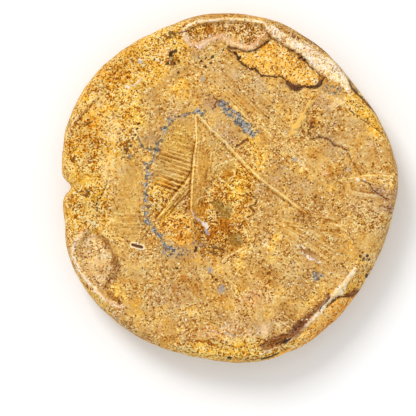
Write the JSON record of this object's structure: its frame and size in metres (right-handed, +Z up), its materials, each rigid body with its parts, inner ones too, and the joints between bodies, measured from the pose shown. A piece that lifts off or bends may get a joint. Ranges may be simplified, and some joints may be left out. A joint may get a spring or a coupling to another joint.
{
  "type": "sand dollar fossil",
  "caption": "Flat round sand dollar fossil of ochre sandy stone, with a worn face, cracks, pale shell remains at the rim and a faint petal star underneath.",
  "frame": {"origin": "middle of the box around the disc, on the surface that it lies on", "axes": "+Z up out of the worn face, +Y towards the scalloped hollow at the rim, +X towards the long crack"},
  "size_m": [0.0827, 0.0859, 0.0149],
  "materials": {
    "fossil_stone": "matt, grainy ochre stone with pale shell, brown cracks and blue-grey crust"
  },
  "bodies": {
    "root": {"sand_dollar_fossil": "fossil_stone"}
  },
  "joints": []
}
